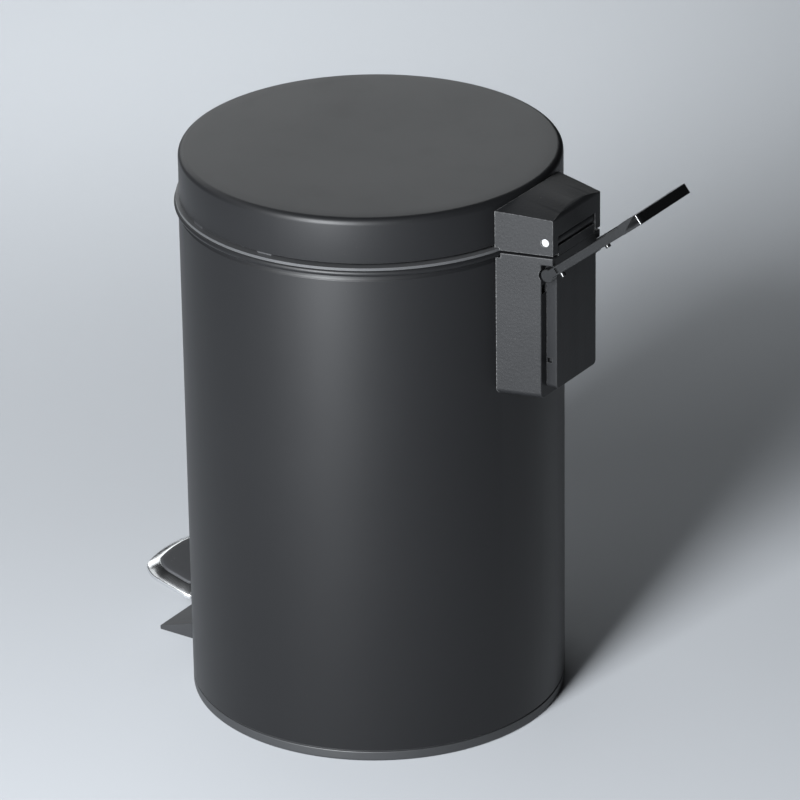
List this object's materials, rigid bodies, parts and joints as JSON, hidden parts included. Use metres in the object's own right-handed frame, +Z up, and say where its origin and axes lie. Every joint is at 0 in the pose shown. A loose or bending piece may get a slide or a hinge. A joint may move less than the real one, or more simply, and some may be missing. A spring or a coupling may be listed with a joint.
{
  "type": "pedal trash can",
  "caption": "Small round steel pedal bin with a lift-up lid, an inner bucket, a rear hinge housing with a folding carry handle and a front foot pedal.",
  "frame": {"origin": "centre of the flat underside of the can, on its round axis", "axes": "+Z up along the axis of the can, -Y towards the pedal, +Y towards the hinge housing"},
  "size_m": [0.1738, 0.2711, 0.2684],
  "materials": {
    "coated_steel": "satin black powder coat",
    "housing_plastic": "fine textured black",
    "base_plastic": "plain moulded black",
    "bucket_plastic": "smooth moulded black",
    "plain_steel": "zinc plated",
    "bright_pin": "bright drawn wire",
    "pedal_chrome": "polished pressed steel",
    "pad_rubber": "matt black"
  },
  "bodies": {
    "can": {"base_ring": "base_plastic", "outer_shell": "coated_steel", "backing_plate": "plain_steel", "housing_screws": "plain_steel", "hinge_housing": "housing_plastic", "hinge_pin": "bright_pin", "handle_pin": "plain_steel", "bucket": "bucket_plastic", "rod_guides": "base_plastic", "guide_rivets": "plain_steel", "pedal_axle": "plain_steel", "axle_clips": "plain_steel"},
    "lid": {"lid_shell": "coated_steel", "lid_bracket": "base_plastic", "bracket_screws": "plain_steel", "hinge_cap": "housing_plastic", "cap_screws": "plain_steel", "lid_buffers": "pad_rubber"},
    "rod": {"push_rod": "plain_steel"},
    "pedal": {"pedal_lever": "plain_steel", "pedal_frame": "pedal_chrome", "pedal_pad": "pad_rubber", "pedal_rivets": "plain_steel"},
    "handle": {"carry_handle": "housing_plastic"},
    "bail": {"bucket_bail": "plain_steel", "bail_grip": "bucket_plastic"}
  },
  "joints": [
    {"name": "lid_open", "type": "hinge", "parent": "can", "child": "lid", "pos_m": [0, 0.1026, 0.2448], "axis": [-1, 0, 0], "range_deg": [0, 66]},
    {"name": "rod_lift", "type": "slide", "parent": "can", "child": "rod", "axis": [0, 0, 1], "range_m": [0, 0.02845]},
    {"name": "pedal_press", "type": "hinge", "parent": "can", "child": "pedal", "pos_m": [0, -0.045, 0.0095], "axis": [1, 0, 0], "range_deg": [0, 12.8]},
    {"name": "handle_fold", "type": "hinge", "parent": "can", "child": "handle", "pos_m": [0, 0.1035, 0.2296], "axis": [1, 0, 0], "range_deg": [-128.5, 0]},
    {"name": "bail_lift", "type": "hinge", "parent": "can", "child": "bail", "pos_m": [0, 0, 0.2432], "axis": [-1, 0, 0], "range_deg": [0, 9]}
  ],
  "couplings": [
    {"joint": "rod_lift", "follows": "lid_open", "m_per_rad": 0.024693},
    {"joint": "pedal_press", "follows": "lid_open", "ratio": 0.19319}
  ]
}
